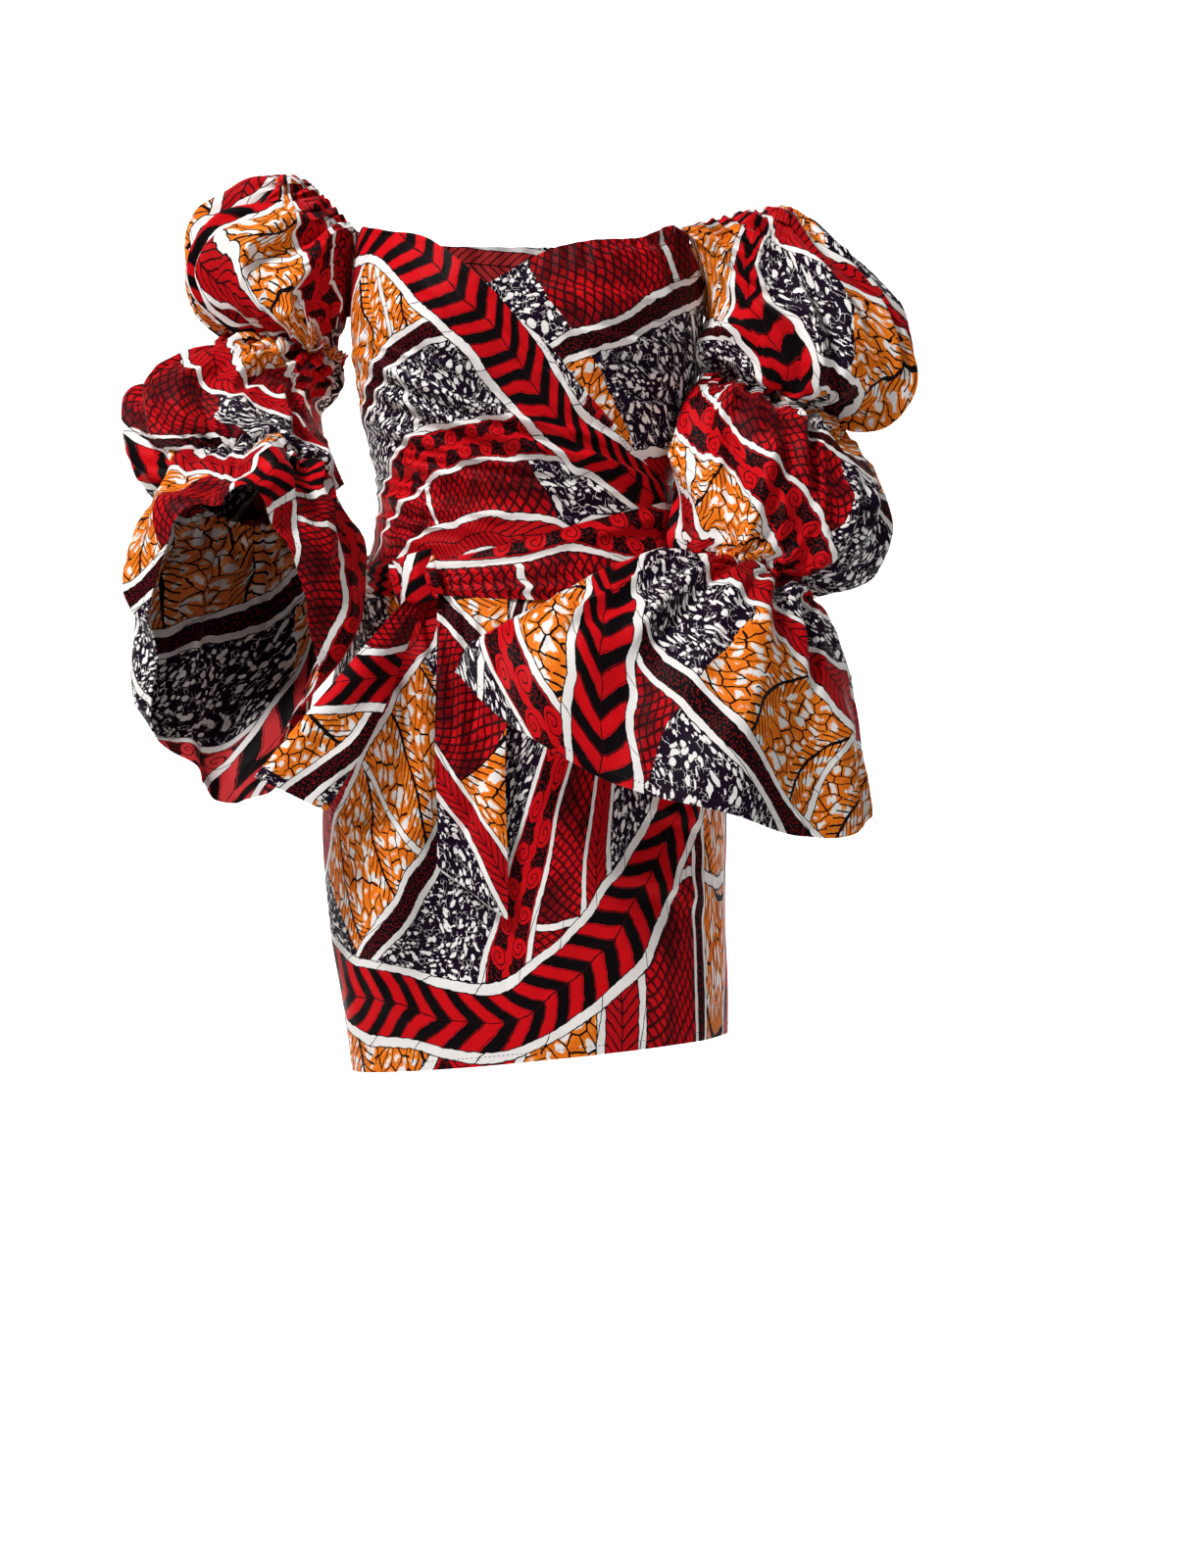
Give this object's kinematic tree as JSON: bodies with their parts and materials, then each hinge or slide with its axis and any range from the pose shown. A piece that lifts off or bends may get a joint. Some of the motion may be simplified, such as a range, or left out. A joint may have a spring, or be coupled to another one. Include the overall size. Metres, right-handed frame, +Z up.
{
  "type": "wrap dress",
  "caption": "Off-shoulder wrap mini dress in printed cotton, with tiered puff sleeves ending in wide bells and a sash tied at the hip, in its worn shape.",
  "frame": {"origin": "middle of the figure at the underarm, where a wearer's bust holds the dress up", "axes": "+Z up, the front of the dress faces -Y, +X is the wearer's left"},
  "size_m": [0.6706, 0.3647, 0.7632],
  "materials": {
    "print_red_ground": "crisp waxed cotton, slight sheen",
    "print_orange_ground": "crisp waxed cotton, slight sheen",
    "print_purple_ground": "crisp waxed cotton, slight sheen"
  },
  "bodies": {
    "root": {"skirt_front": "print_red_ground", "skirt_back": "print_red_ground", "bodice_front_over": "print_orange_ground", "bodice_front_under": "print_orange_ground", "bodice_back": "print_orange_ground", "sash_band": "print_purple_ground", "sash_knot": "print_red_ground", "sash_tail_side": "print_orange_ground", "sash_tail_front": "print_purple_ground", "left_sleeve_upper_puff": "print_red_ground", "left_sleeve_lower_puff": "print_orange_ground", "left_sleeve_bell": "print_purple_ground", "right_sleeve_upper_puff": "print_red_ground", "right_sleeve_lower_puff": "print_orange_ground", "right_sleeve_bell": "print_purple_ground"}
  },
  "joints": []
}
